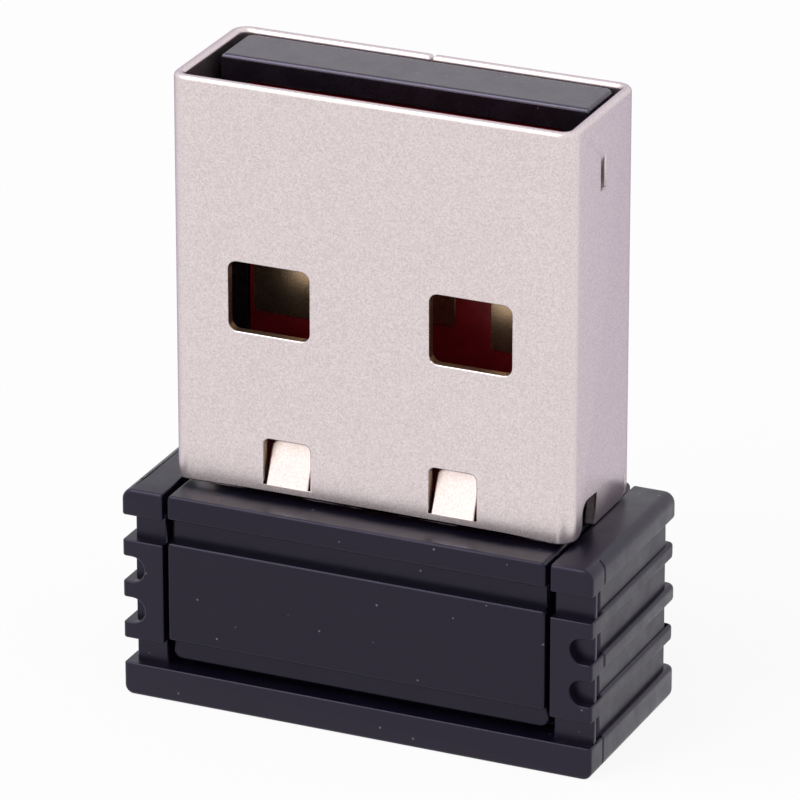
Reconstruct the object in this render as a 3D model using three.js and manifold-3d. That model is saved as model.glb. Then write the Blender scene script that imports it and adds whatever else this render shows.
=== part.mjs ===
// A nano USB wireless adapter: a bare steel USB-A plug standing on a small ribbed grip cap.
// Millimetres, +Z up. X is the plug's width, -Y is the contact side, and the origin is at the
// middle of the underside of the cap.
import * as THREE from 'three';
import { mergeVertices } from 'three/addons/utils/BufferGeometryUtils.js';
import Module from 'manifold-3d';

const wasm = await Module();
wasm.setup();

// ---------------------------------------------------------------- driving dimensions

const clearance = 0.05; // between parts that slide into each other
const past = 1; // how far a cutting solid runs past what it cuts
const sharpEdge = 0.01; // an edge that is all but sharp

const cap = {
  width: 14.23,
  depth: 6.16,
  height: 6.3,
  frontCorner: 0.22,
  rearCorner: 0.45,
  edgeRound: 0.18,
  floor: 0.98, // the bottom flange, which is also the floor inside
  topFlange: 0.8,
  ribs: 3,
  ribHeight: 0.5,
  sideGroove: 0.17, // depth of the finger grooves on the two sides
  faceGroove: 0.33, // depth of the grooves on the front and the back
  endBlock: 1.255, // width of each solid end of the cap, seen from the front
  pocketLength: 0.67, // grooves that stop short on the end blocks
};

const parting = {
  post: 0.2, // thickness of the corner post left at the front end of each groove
  postInset: 0.045,
  slot: 0.38,
  slotDepth: 0.5,
};

const snap = { width: 2, height: 0.5, reach: 0.3, clearance: 0.12, zCentre: 3.6 };

const housing = {
  gap: 0.14, // seam between the inner housing and the end blocks
  wall: 0.6,
  sideWall: 1.02,
  roof: 0.7,
  lipBottom: 1.2, // underside of the front lip, above the dark slit over the cap's floor
  lipTop: 1.886,
  grooveBottom: 4.86,
  grooveTop: 5.566,
  floorThickness: 0.62,
};

const plug = {
  width: 12,
  depth: 4.5,
  sheet: 0.3,
  corner: 0.5,
  length: 11.97, // from the lower edge of the shell to its open end
  offset: 0.2, // the plug sits this far behind the middle of the cap
  lift: 0.13, // dark gap between the cap's top and the shell's lower edge
  seam: 0.08,
};

const window = { width: 2.45, height: 2.05, fromTip: 5.2, centre: 3.02 };

const lance = { width: 1.28, height: 1.3, centre: 2.5, fromBottom: 0.27, lean: 0.55, slit: 0.08 };

const sideNotch = { start: -1.12, length: 0.97, height: 0.9 };

const foot = { length: 2.05, lean: 0.06, rest: 0.02 };

const detent = { width: 0.42, height: 0.95, fromTip: 1.29, y: 0.08, lean: 0.2 };

const tongue = {
  sideGap: 0.2, // beside the tongue inside the shell
  thickness: 1.85,
  recess: 0.1, // the tongue's end below the shell's rim
  lip: 0.7, // plastic over the board's end
  rail: 0.85, // plastic beside the board
  waistGap: 0.95, // from the shell's feet to the narrow part between them
  tail: 1, // how far the tongue runs down into the housing's roof
  corner: 0.3,
};

const board = {
  thickness: 0.8,
  bite: 0.25, // width of board held in each side wall of the housing
  bottom: 1.32,
};

const contact = {
  powerWidth: 1.86,
  dataWidth: 1.2,
  thickness: 0.05,
  powerCentre: 3.59,
  dataCentre: 1,
  powerFromTip: 1.05,
  dataFromTip: 2,
  powerLength: 6.5,
  dataLength: 5.07,
};

// Loose parts on the board: x and z of the centre, size along x, z and off the board.
const frontParts = {
  wifi_chip: { x: 0.35, z: 3.55, width: 3.8, height: 3.8, rise: 0.85 },
  crystal: { x: 3.55, z: 4.35, width: 2, height: 1.6, rise: 0.6 },
  chip_antenna: { x: -3.45, z: 3.45, width: 1.6, height: 3.2, rise: 1.1 },
  status_led: { x: 3.6, z: 1.95, width: 1, height: 0.5, rise: 0.4 },
};
const backParts = {
  voltage_regulator: { x: -2.9, z: 3.6, width: 1.5, height: 2.9, rise: 0.9 },
  power_inductor: { x: 2.9, z: 3.6, width: 2, height: 2, rise: 0.9 },
};
const chip = { width: 0.5, height: 1, rise: 0.45 }; // a 0402 capacitor or resistor
const capacitors = { count: 6, firstX: -1.45, pitch: 0.62, z: 4.55 };
const resistors = { count: 3, firstX: -0.7, pitch: 0.7, z: 2.4 };

// ---------------------------------------------------------------- levels that follow

const capFront = -cap.depth / 2;
const capRear = cap.depth / 2;
const capSide = cap.width / 2;
const blockInside = capSide - cap.endBlock;
const ribZone = cap.height - cap.topFlange - cap.floor;
const grooveHeight = (ribZone - cap.ribs * cap.ribHeight) / (cap.ribs + 1);

const housingSide = blockInside - housing.gap;
const cavitySide = housingSide - housing.sideWall;
const recessFront = capFront + cap.faceGroove;
const cavityFront = recessFront + housing.wall;
const cavityTop = cap.height - housing.roof;
const cavityBottom = cap.floor + housing.floorThickness;

const shellBottom = cap.height + plug.lift;
const shellTip = shellBottom + plug.length;
const shellFront = plug.offset - plug.depth / 2;
const shellRear = plug.offset + plug.depth / 2;
const tongueRear = shellRear - plug.sheet - clearance;
const tongueFront = tongueRear - tongue.thickness; // also the board's front and where the halves meet
const boardRear = tongueFront + board.thickness;
const tallestBehind = Math.max(chip.rise, ...Object.values(backParts).map((part) => part.rise));
const cavityRear = Math.max(-cavityFront, boardRear + tallestBehind + clearance);
const tongueTip = shellTip - tongue.recess;
const tongueSide = plug.width / 2 - plug.sheet - tongue.sideGap;
const tongueBoardSide = tongueSide - tongue.rail;
const boardSide = cavitySide + board.bite;

// The shell's feet: their height and where their inner faces end.
const footTop = shellBottom + sideNotch.height;
const footBottom = cap.height + foot.rest;
const footInside = plug.width / 2 - plug.sheet - foot.lean;
const waistSide = footInside - tongue.waistGap;

// ---------------------------------------------------------------- materials

function finish(colour, roughness, metalness) {
  return new THREE.MeshStandardMaterial({ color: colour, roughness, metalness });
}

const satinNickel = finish(0xcdc0c2, 0.32, 1);
const gripPlastic = finish(0x34333a, 0.55, 0);
const panelPlastic = finish(0x2f2e35, 0.5, 0);
const tonguePlastic = finish(0x1b1a1f, 0.5, 0);
const solderMask = finish(0x5e0610, 0.35, 0);
const goldPlate = finish(0xd9a441, 0.25, 1);
const moldCompound = finish(0x1c1c1e, 0.6, 0);
const nickelCan = finish(0xc9c9cc, 0.3, 1);
const ceramic = finish(0xd8d2c4, 0.45, 0);
const ferrite = finish(0x4a4a4e, 0.7, 0);
const tanCeramic = finish(0xa9825e, 0.5, 0);
const clearEpoxy = finish(0xe6ecd9, 0.2, 0);

// ---------------------------------------------------------------- solids

function solidOf(geometry) {
  const plain = geometry.clone();
  plain.deleteAttribute('normal');
  plain.deleteAttribute('uv');
  const merged = mergeVertices(plain, 1e-5);
  const mesh = new wasm.Mesh({
    numProp: 3,
    vertProperties: merged.attributes.position.array,
    triVerts: Uint32Array.from(merged.index.array),
  });
  return new wasm.Manifold(mesh);
}

function geometryOf(solid) {
  const mesh = solid.getMesh();
  const geometry = new THREE.BufferGeometry();
  geometry.setAttribute('position', new THREE.BufferAttribute(mesh.vertProperties, 3));
  geometry.setIndex(new THREE.BufferAttribute(mesh.triVerts, 1));
  geometry.computeVertexNormals();
  return geometry;
}

/** A box from its ranges along the three axes. */
function block(x, y, z) {
  const geometry = new THREE.BoxGeometry(x[1] - x[0], y[1] - y[0], z[1] - z[0]);
  geometry.translate((x[0] + x[1]) / 2, (y[0] + y[1]) / 2, (z[0] + z[1]) / 2);
  return geometry;
}

/** The ranges of a band on one side of the object: side is 1 for +X and -1 for -X. */
function onSide(side, near, far) {
  return side > 0 ? [near, far] : [-far, -near];
}

/** A shape drawn in X and Z, as a solid between two depths. */
function extrudeAlongY(shape, y) {
  const geometry = new THREE.ExtrudeGeometry(shape, { depth: y[1] - y[0], bevelEnabled: false });
  geometry.rotateX(Math.PI / 2);
  geometry.translate(0, y[1], 0);
  return geometry;
}

/** A rectangle whose front pair of corners and rear pair of corners have their own radii. */
function roundedRectangle(halfWidth, front, rear, frontRadius, rearRadius) {
  const shape = new THREE.Shape();
  const quarter = Math.PI / 2;
  shape.moveTo(-halfWidth + frontRadius, front);
  shape.absarc(halfWidth - frontRadius, front + frontRadius, frontRadius, -quarter, 0);
  shape.absarc(halfWidth - rearRadius, rear - rearRadius, rearRadius, 0, quarter);
  shape.absarc(-halfWidth + rearRadius, rear - rearRadius, rearRadius, quarter, 2 * quarter);
  shape.absarc(-halfWidth + frontRadius, front + frontRadius, frontRadius, -2 * quarter, -quarter);
  return shape;
}

function extrudeUp(shape, z, curveSegments = 4) {
  const options = { depth: z[1] - z[0], bevelEnabled: false, curveSegments };
  return new THREE.ExtrudeGeometry(shape, options).translate(0, 0, z[0]);
}

/** A geometry with others cut away from it. */
function cutFrom(base, cuts) {
  return geometryOf(cuts.reduce((solid, cut) => solid.subtract(solidOf(cut)), solidOf(base)));
}

/** A geometry with others joined on to it. */
function joinTo(base, extras) {
  return geometryOf(extras.reduce((solid, extra) => solid.add(solidOf(extra)), solidOf(base)));
}

// ---------------------------------------------------------------- grip cap

/** Heights of the finger grooves, from the bottom flange up. */
function grooveBands() {
  const bands = [];
  for (let index = 0; index <= cap.ribs; index += 1) {
    const bottom = cap.floor + index * (grooveHeight + cap.ribHeight);
    bands.push([bottom, bottom + grooveHeight]);
  }
  return bands;
}

/** A short pocket cut in from the outer edge of an end block, with a round inner end. */
function endPocket(side, z, y) {
  const radius = (z[1] - z[0]) / 2;
  const centre = side * (capSide - cap.pocketLength + radius);
  const outside = side * (capSide + past);
  const shape = new THREE.Shape();
  shape.moveTo(outside, z[0]);
  shape.lineTo(centre, z[0]);
  shape.absarc(centre, z[0] + radius, radius, -Math.PI / 2, Math.PI / 2, side > 0);
  shape.lineTo(outside, z[1]);
  return extrudeAlongY(shape, y);
}

function grooveCuts(side, z, runsAcross) {
  const outside = capSide + past;
  const slotFront = recessFront + parting.post;
  const slotRear = slotFront + parting.slot;
  const groove = capSide - cap.sideGroove;
  const front = [capFront - past, recessFront];
  const rear = [capRear - cap.faceGroove, capRear + past];
  const cuts = [
    block(onSide(side, groove, outside), [slotRear, capRear + past], z),
    block(onSide(side, capSide - parting.slotDepth, outside), [slotFront, slotRear], z),
    block(onSide(side, capSide - parting.postInset, outside), [capFront - past, slotFront], z),
  ];
  for (const y of [front, rear]) {
    cuts.push(runsAcross ? block(onSide(side, 0, outside), y, z) : endPocket(side, z, y));
  }
  return cuts;
}

function gripCap() {
  const round = cap.edgeRound;
  const outline = roundedRectangle(
    capSide - round, capFront + round, capRear - round,
    Math.max(cap.frontCorner - round, sharpEdge), Math.max(cap.rearCorner - round, sharpEdge),
  );
  const body = new THREE.ExtrudeGeometry(outline, {
    depth: cap.height - 2 * round,
    bevelThickness: round,
    bevelSize: round,
    bevelSegments: 3,
    curveSegments: 4,
  }).translate(0, 0, round);
  const cuts = [
    block([-blockInside, blockInside], [capFront - past, capRear + past], [cap.floor, cap.height + past]),
  ];
  const bands = grooveBands();
  const snapHalf = snap.width / 2 + snap.clearance;
  const snapZ = [
    snap.zCentre - snap.height / 2 - snap.clearance,
    snap.zCentre + snap.height / 2 + snap.clearance,
  ];
  const snapDeep = housingSide + snap.reach + snap.clearance;
  for (const side of [-1, 1]) {
    bands.forEach((z, index) => {
      cuts.push(...grooveCuts(side, z, index === 0 || index === bands.length - 1));
    });
    cuts.push(block(onSide(side, blockInside - past / 2, snapDeep), [-snapHalf, snapHalf], snapZ));
  }
  return cutFrom(body, cuts);
}

// ---------------------------------------------------------------- inner housing

/** Cuts that shape the outer face of a housing half; facing is -1 for the front half. */
function faceCuts(facing) {
  const width = [-housingSide - past, housingSide + past];
  const outer = capRear + past;
  const depth = (near) => (facing < 0 ? [-outer, -near] : [near, outer]);
  const recess = capRear - cap.faceGroove;
  return [
    block(width, depth(recess), [housing.grooveBottom, housing.grooveTop]),
    block(width, depth(recess), [cap.floor - past, housing.lipTop]),
    block(width, depth(recess - housing.wall), [cap.floor - past, housing.lipBottom]),
  ];
}

/** Half a snap nub on each side, up to the plane where the two halves meet. */
function snapNubs(y) {
  const z = [snap.zCentre - snap.height / 2, snap.zCentre + snap.height / 2];
  return [-1, 1].map((side) => block(onSide(side, cavitySide, housingSide + snap.reach), y, z));
}

function frontHousing() {
  const body = block([-housingSide, housingSide], [capFront, tongueFront], [cap.floor, cap.height]);
  const cavity = block(
    [-cavitySide, cavitySide], [cavityFront, tongueFront + past], [cavityBottom, cavityTop],
  );
  const nubs = snapNubs([-snap.width / 2, tongueFront]);
  return cutFrom(joinTo(body, nubs), [cavity, ...faceCuts(-1)]);
}

function rearHousing() {
  const body = block([-housingSide, housingSide], [tongueFront, capRear], [cap.floor, cap.height]);
  const cavity = block(
    [-cavitySide, cavitySide], [tongueFront - past, cavityRear], [cavityBottom, cavityTop],
  );
  const seat = boardSide + clearance;
  const boardSeat = block(
    [-seat, seat], [tongueFront - past, boardRear], [board.bottom - clearance, cavityTop],
  );
  const slot = waistSide + clearance;
  const slotBottom = Math.min(cavityTop, cap.height - tongue.tail) - clearance;
  const tongueSlot = block(
    [-slot, slot], [tongueFront - past, tongueRear + clearance], [slotBottom, cap.height + past],
  );
  const nubs = snapNubs([tongueFront, snap.width / 2]);
  return cutFrom(joinTo(body, nubs), [cavity, boardSeat, tongueSlot, ...faceCuts(1)]);
}

// ---------------------------------------------------------------- plug

/** The cap end of a side wall, turned slightly inwards, which stands on the cap. */
function shellFoot(side) {
  const outer = plug.width / 2;
  const inner = outer - plug.sheet;
  const shape = new THREE.Shape();
  shape.moveTo(inner, footTop + plug.sheet);
  shape.lineTo(outer, footTop + plug.sheet);
  shape.lineTo(outer, footTop);
  shape.lineTo(outer - foot.lean, footBottom);
  shape.lineTo(inner - foot.lean, footBottom);
  shape.lineTo(inner, footTop);
  const start = sideNotch.start + sideNotch.length;
  const geometry = extrudeAlongY(shape, [start, start + foot.length]);
  return side > 0 ? geometry : geometry.rotateZ(Math.PI).translate(0, 2 * start + foot.length, 0);
}

/** A tongue of sheet lanced out of a wall of the shell and bent inwards at its free end. */
function lanceTab(width, height, lean, z, place) {
  const tilt = Math.atan2(lean, height);
  const geometry = new THREE.BoxGeometry(width, plug.sheet, height);
  geometry.translate(0, plug.sheet / 2, height / 2);
  geometry.rotateX(-tilt);
  geometry.translate(0, 0, z);
  return geometry.applyMatrix4(place);
}

function plugShell() {
  const half = plug.width / 2;
  const inner = plug.sheet;
  const outline = roundedRectangle(half, shellFront, shellRear, plug.corner, plug.corner);
  const hollow = roundedRectangle(
    half - inner, shellFront + inner, shellRear - inner, plug.corner - inner, plug.corner - inner,
  );
  const joined = [];
  const cuts = [extrudeUp(hollow, [shellBottom - past, shellTip + past])];
  const windowTop = shellTip - window.fromTip;
  const windowZ = [windowTop - window.height, windowTop];
  const lanceBottom = shellBottom + lance.fromBottom;
  const lanceZ = [lanceBottom, lanceBottom + lance.height + lance.slit];
  const frontWall = [shellFront - past, shellFront + inner + past / 2];
  const rearWall = [shellRear - inner - past / 2, shellRear + past];
  const footStart = sideNotch.start + sideNotch.length;
  const notchZ = [shellBottom - past, footTop];
  const detentTop = shellTip - detent.fromTip;
  for (const side of [-1, 1]) {
    const windowX = onSide(side, window.centre - window.width / 2, window.centre + window.width / 2);
    cuts.push(block(windowX, frontWall, windowZ), block(windowX, rearWall, windowZ));
    const slot = lance.width / 2 + lance.slit;
    cuts.push(block(onSide(side, lance.centre - slot, lance.centre + slot), frontWall, lanceZ));
    const place = new THREE.Matrix4().makeTranslation(side * lance.centre, shellFront, 0);
    joined.push(lanceTab(lance.width, lance.height, lance.lean, lanceBottom, place));
    const wall = onSide(side, half - plug.corner - past / 2, half + past);
    cuts.push(block(wall, [sideNotch.start, footStart + foot.length], notchZ));
    cuts.push(block(wall, [detent.y - detent.width / 2, detent.y + detent.width / 2],
      [detentTop - detent.height, detentTop - detent.height / 2]));
    joined.push(shellFoot(side));
  }
  cuts.push(block([-plug.seam / 2, plug.seam / 2], rearWall, [shellBottom - past, shellTip + past]));
  return joinTo(cutFrom(extrudeUp(outline, [shellBottom, shellTip]), cuts), joined);
}

function tongueBlock() {
  const outline = roundedRectangle(tongueSide, tongueFront, tongueRear, sharpEdge, tongue.corner);
  const body = extrudeUp(outline, [footTop, tongueTip]);
  const neck = block(
    [-waistSide, waistSide], [boardRear, tongueRear], [cap.height - tongue.tail, footTop + clearance],
  );
  const seat = tongueBoardSide + clearance;
  const pocket = block(
    [-seat, seat], [tongueFront - past, boardRear], [footTop - past, tongueTip - tongue.lip],
  );
  return cutFrom(joinTo(body, [neck]), [pocket]);
}

function circuitBoard() {
  const shoulder = cavityTop - 2 * clearance;
  const neckTop = footTop + clearance;
  const top = tongueTip - tongue.lip - clearance;
  const rightEdge = [
    [boardSide, board.bottom], [boardSide, shoulder],
    [waistSide, shoulder], [waistSide, neckTop],
    [tongueBoardSide, neckTop], [tongueBoardSide, top],
  ];
  const leftEdge = rightEdge.map(([x, z]) => [-x, z]).reverse();
  const corners = [...rightEdge, ...leftEdge].map((corner) => new THREE.Vector2(...corner));
  return extrudeAlongY(new THREE.Shape(corners), [tongueFront, boardRear]);
}

function contactPad(centre, width, fromTip, length) {
  const top = shellTip - fromTip;
  const half = width / 2;
  const y = [tongueFront - contact.thickness, tongueFront];
  return block([centre - half, centre + half], y, [top - length, top]);
}

// ---------------------------------------------------------------- parts on the board

function boardPart({ x, z, width, height, rise }, onFront) {
  const y = onFront ? [tongueFront - rise, tongueFront] : [boardRear, boardRear + rise];
  return block([x - width / 2, x + width / 2], y, [z - height / 2, z + height / 2]);
}

// ---------------------------------------------------------------- assembly

function piece(name, geometry, material) {
  const mesh = new THREE.Mesh(geometry, material);
  mesh.name = name;
  return mesh;
}

const usbPlug = new THREE.Group();
usbPlug.add(
  piece('plug_shell', plugShell(), satinNickel),
  piece('plug_tongue', tongueBlock(), tonguePlastic),
  piece('circuit_board', circuitBoard(), solderMask),
);
const contacts = {
  contact_power: [
    -contact.powerCentre, contact.powerWidth, contact.powerFromTip, contact.powerLength,
  ],
  contact_data_minus: [
    -contact.dataCentre, contact.dataWidth, contact.dataFromTip, contact.dataLength,
  ],
  contact_data_plus: [
    contact.dataCentre, contact.dataWidth, contact.dataFromTip, contact.dataLength,
  ],
  contact_ground: [
    contact.powerCentre, contact.powerWidth, contact.powerFromTip, contact.powerLength,
  ],
};
for (const [name, place] of Object.entries(contacts)) {
  usbPlug.add(piece(name, contactPad(...place), goldPlate));
}

const electronics = new THREE.Group();
const partFinish = {
  wifi_chip: moldCompound,
  crystal: nickelCan,
  chip_antenna: ceramic,
  status_led: clearEpoxy,
  voltage_regulator: moldCompound,
  power_inductor: ferrite,
};
for (const [name, place] of Object.entries(frontParts)) {
  electronics.add(piece(name, boardPart(place, true), partFinish[name]));
}
for (const [name, place] of Object.entries(backParts)) {
  electronics.add(piece(name, boardPart(place, false), partFinish[name]));
}

/** A row of equal 0402 parts on the back of the board. */
function addRow(name, row, material) {
  for (let index = 0; index < row.count; index += 1) {
    const place = { ...chip, x: row.firstX + index * row.pitch, z: row.z };
    electronics.add(piece(`${name}_${index + 1}`, boardPart(place, false), material));
  }
}
addRow('capacitor', capacitors, tanCeramic);
addRow('resistor', resistors, moldCompound);

const grip = new THREE.Group();
grip.add(
  piece('grip_cap', gripCap(), gripPlastic),
  piece('front_housing', frontHousing(), panelPlastic),
  piece('rear_housing', rearHousing(), panelPlastic),
);

const adapter = new THREE.Group();
adapter.add(usbPlug, electronics, grip);

export default adapter;
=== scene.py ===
# %% [markdown]
# # A nano USB wireless adapter
# A folded steel USB-A plug stands on a small ribbed cap of black ABS. The CAD model fixes every
# size and place. This file gives the pieces their fine edges and finishes, so it starts by
# loading that model, and each new piece is measured from it.

# %% Load the frame
import math

import bmesh
import bpy
from mathutils import Matrix, Vector


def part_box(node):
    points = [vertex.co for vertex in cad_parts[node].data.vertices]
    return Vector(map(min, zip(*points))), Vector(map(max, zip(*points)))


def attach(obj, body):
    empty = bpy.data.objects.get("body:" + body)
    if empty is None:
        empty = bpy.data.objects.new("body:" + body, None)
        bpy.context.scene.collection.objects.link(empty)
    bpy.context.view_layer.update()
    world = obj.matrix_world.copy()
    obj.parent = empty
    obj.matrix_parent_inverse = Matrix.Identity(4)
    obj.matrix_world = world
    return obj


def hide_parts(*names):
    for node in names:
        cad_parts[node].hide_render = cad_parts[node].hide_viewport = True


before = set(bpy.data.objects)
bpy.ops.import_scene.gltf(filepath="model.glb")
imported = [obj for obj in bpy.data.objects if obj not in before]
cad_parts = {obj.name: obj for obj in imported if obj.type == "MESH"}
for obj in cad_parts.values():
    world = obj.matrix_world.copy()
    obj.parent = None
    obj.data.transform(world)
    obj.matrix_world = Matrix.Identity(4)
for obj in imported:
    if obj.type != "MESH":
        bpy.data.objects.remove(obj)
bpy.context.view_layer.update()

MM = 0.001

# %% [markdown]
# ## Working in millimetres
# The object is 18 mm tall. Blender's bevels and booleans treat anything under a micrometre as
# nothing, so the pieces are shaped in millimetres, where their edges are far above that limit,
# and each finished mesh is shrunk to metres once, at the end.


# %% Measure a CAD node in millimetres
def node_box(name):
    """The lowest and highest corner of a CAD node, in millimetres."""
    low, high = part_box(name)
    return low / MM, high / MM


cap_low, cap_high = node_box("grip_cap")
shell_low, shell_high = node_box("plug_shell")
tongue_low, tongue_high = node_box("plug_tongue")
board_low, board_high = node_box("circuit_board")
print("cap", cap_low, cap_high)
print("shell", shell_low, shell_high)

# %% [markdown]
# ## The camera
# A long lens from about 20 cm, a little over 20 degrees round to the right and above, as for a
# product picture. A long lens keeps the upright edges of so small a thing nearly parallel.

# %% Set up the camera
CAMERA_AZIMUTH = math.radians(23.98)
CAMERA_ELEVATION = math.radians(22.68)
CAMERA_DISTANCE = 195.9
CAMERA_AIM = Vector((-0.04, 0.144, 8.927))
CAMERA_LENS, SENSOR_WIDTH = 317.86, 36
NEAREST, FARTHEST = 0.01, 20  # metres

back = Vector((
    math.sin(CAMERA_AZIMUTH) * math.cos(CAMERA_ELEVATION),
    -math.cos(CAMERA_AZIMUTH) * math.cos(CAMERA_ELEVATION),
    math.sin(CAMERA_ELEVATION),
))
camera_data = bpy.data.cameras.new("camera")
camera_data.sensor_width = SENSOR_WIDTH
camera_data.lens = CAMERA_LENS
camera_data.clip_start = NEAREST
camera_data.clip_end = FARTHEST
camera = bpy.data.objects.new("camera", camera_data)
camera.location = (CAMERA_AIM + CAMERA_DISTANCE * back) * MM
camera.rotation_euler = back.to_track_quat("Z", "Y").to_euler()
bpy.context.scene.collection.objects.link(camera)
bpy.context.scene.camera = camera
print("camera at", camera.location)

# %% [markdown]
# ## Colours and nodes
# Colours are written as sRGB hex, as a paint chart or a colour picker gives them, and turned
# into the linear values that a shader works in. One function adds any node.


# %% Colour and node helpers
def linear(colour):
    """An sRGB hex colour, such as "C8102E", as linear red, green, blue and alpha."""
    channels = []
    for start in (0, 2, 4):
        value = int(colour[start:start + 2], 16) / 255
        channels.append(value / 12.92 if value <= 0.04045 else ((value + 0.055) / 1.055) ** 2.4)
    return (*channels, 1.0)


def add_node(tree, kind, values=None, links=None, **settings):
    """Add a node, set its socket values and its own settings, and link its inputs."""
    made = tree.nodes.new(kind)
    for name, value in settings.items():
        setattr(made, name, value)
    for socket, value in (values or {}).items():
        made.inputs[socket].default_value = value
    for socket, source in (links or {}).items():
        tree.links.new(source, made.inputs[socket])
    return made


def new_material(name):
    """An empty node material with its output node."""
    material = bpy.data.materials.new(name)
    material.use_nodes = True
    tree = material.node_tree
    tree.nodes.clear()
    return material, tree, add_node(tree, "ShaderNodeOutputMaterial")


def millimetres(tree):
    """The object's own coordinates, in millimetres, so that pattern sizes read as real ones."""
    coordinates = add_node(tree, "ShaderNodeTexCoord")
    scaled = add_node(
        tree, "ShaderNodeMapping",
        values={"Scale": (1 / MM, 1 / MM, 1 / MM)},
        links={"Vector": coordinates.outputs["Object"]},
    )
    return scaled.outputs["Vector"]


# %% [markdown]
# ## The stage
# A white floor and an all-round white room, with two soft lamps to the left and in front, one
# high and one lower. The room is what the satin metal and the black plastic reflect, so most of
# what looks like shading on them is really the room seen in their surfaces. The floor glows
# white only to the camera and in mirrors, so it adds no light to the object.

# %% Floor, room and lamps
ROOM_LIGHT = 0.74
FLOOR_GLOW = 0.9
FLOOR_SIZE = 3.0  # metres
# Each lamp: name, size and distance in metres, radiance, the direction in which it stands and
# its colour.
LAMPS = (
    ("high_softbox", 0.14, 0.23, 3.6, Vector((-0.42, -0.42, 0.8)), "F8FBFF"),
    ("front_softbox", 0.11, 0.30, 0.84, Vector((-0.38, -0.85, 0.36)), "FFF3DC"),
)

scene = bpy.context.scene
scene.view_settings.view_transform = "Standard"


def seen_or_mirrored(tree):
    """1 for rays from the camera and for rays reflected or refracted, 0 for diffuse light."""
    path = add_node(tree, "ShaderNodeLightPath")
    either = add_node(
        tree, "ShaderNodeMath", operation="MAXIMUM",
        links={0: path.outputs["Is Camera Ray"], 1: path.outputs["Is Glossy Ray"]},
    )
    return add_node(
        tree, "ShaderNodeMath", operation="MAXIMUM",
        links={0: either.outputs[0], 1: path.outputs["Is Transmission Ray"]},
    ).outputs[0]


world = bpy.data.worlds.new("white_room")
scene.world = world
world.use_nodes = True
room = world.node_tree
room.nodes.clear()
lighting = add_node(
    room, "ShaderNodeBackground", {"Color": linear("F3ECFA"), "Strength": ROOM_LIGHT},
)
backdrop = add_node(room, "ShaderNodeBackground", {"Color": linear("FFFFFF"), "Strength": 1.0})
either_room = add_node(
    room, "ShaderNodeMixShader",
    links={0: seen_or_mirrored(room), 1: lighting.outputs[0], 2: backdrop.outputs[0]},
)
add_node(room, "ShaderNodeOutputWorld", links={"Surface": either_room.outputs[0]})

floor_paint, tree, output = new_material("matt_white_paper")
paper = add_node(tree, "ShaderNodeBsdfDiffuse", {"Color": linear("F4F4F4"), "Roughness": 1.0})
glow = add_node(tree, "ShaderNodeEmission", {"Color": linear("FFFFFF"), "Strength": 1.0})
glow_share = add_node(
    tree, "ShaderNodeMath", {1: FLOOR_GLOW}, {0: seen_or_mirrored(tree)}, operation="MULTIPLY",
)
floor_mix = add_node(
    tree, "ShaderNodeMixShader",
    links={0: glow_share.outputs[0], 1: paper.outputs[0], 2: glow.outputs[0]},
)
tree.links.new(floor_mix.outputs[0], output.inputs["Surface"])

floor_shape = bmesh.new()
bmesh.ops.create_grid(floor_shape, x_segments=1, y_segments=1, size=FLOOR_SIZE / 2)
floor_mesh = bpy.data.meshes.new("floor")
floor_shape.to_mesh(floor_mesh)
floor_shape.free()
floor = bpy.data.objects.new("floor", floor_mesh)
floor.data.materials.append(floor_paint)
scene.collection.objects.link(floor)
print("floor of", FLOOR_SIZE, "m, room light", ROOM_LIGHT)

# %% Hang the lamps
for name, size, distance, radiance, towards, colour in LAMPS:
    direction = towards.normalized()
    lamp_data = bpy.data.lights.new(name, "AREA")
    lamp_data.shape = "SQUARE"
    lamp_data.size = size
    lamp_data.energy = radiance * math.pi * size ** 2
    lamp_data.color = linear(colour)[:3]
    lamp = bpy.data.objects.new(name, lamp_data)
    lamp.location = direction * distance
    lamp.rotation_euler = direction.to_track_quat("Z", "Y").to_euler()
    scene.collection.objects.link(lamp)
    print(name, "power in watts:", round(lamp_data.energy, 3))

# %% [markdown]
# ## Shaping tools
# Most pieces here are what a press or a mould makes: a plain block or sheet with openings cut
# through it and every edge slightly rounded. So a piece starts as a box, booleans punch it, and
# a bevel rounds its edges. The bevel reads a weight from each edge, because a moulded rib is
# rounder than the step beside it.

# %% Margins
PAST = 1.0  # how far a cutter runs past what it cuts, in millimetres
MARGIN = 0.1  # a smaller overlap, or the distance that tells one end of a shape from the other
NEAR = 0.01  # within this distance an edge counts as lying on a plane
SAME_POINT = 1e-4
FLAT_ANGLE = math.radians(0.5)  # flatter joints are no edge at all
SHARP_ANGLE = math.radians(32)  # sharper ones are rounded
print("cutters run past by", PAST, "mm")


# %% Boxes and rounded boxes
def box(x, y, z):
    """A box from its ranges along the three axes, in millimetres."""
    shape = bmesh.new()
    bmesh.ops.create_cube(shape, size=1)
    bmesh.ops.scale(shape, vec=(x[1] - x[0], y[1] - y[0], z[1] - z[0]), verts=shape.verts)
    middle = Vector((x[0] + x[1], y[0] + y[1], z[0] + z[1])) / 2
    bmesh.ops.translate(shape, vec=middle, verts=shape.verts)
    return shape


def on_side(side, near, far):
    """The range of a band at one side of the object: side is 1 for +X and -1 for -X."""
    return (near, far) if side > 0 else (-far, -near)


def round_along(shape, axis, radius, chosen=lambda middle: True, segments=6):
    """Round the edges that run along an axis, where chosen says so of their middle."""
    edges = []
    for edge in shape.edges:
        direction = (edge.verts[1].co - edge.verts[0].co).normalized()
        middle = (edge.verts[0].co + edge.verts[1].co) / 2
        if abs(direction[axis]) > 0.999 and chosen(middle):
            edges.append(edge)
    bmesh.ops.bevel(
        shape, geom=edges, offset=radius, offset_type="OFFSET", segments=segments,
        profile=0.5, affect="EDGES", material=-1, clamp_overlap=False,
    )
    return shape


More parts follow.
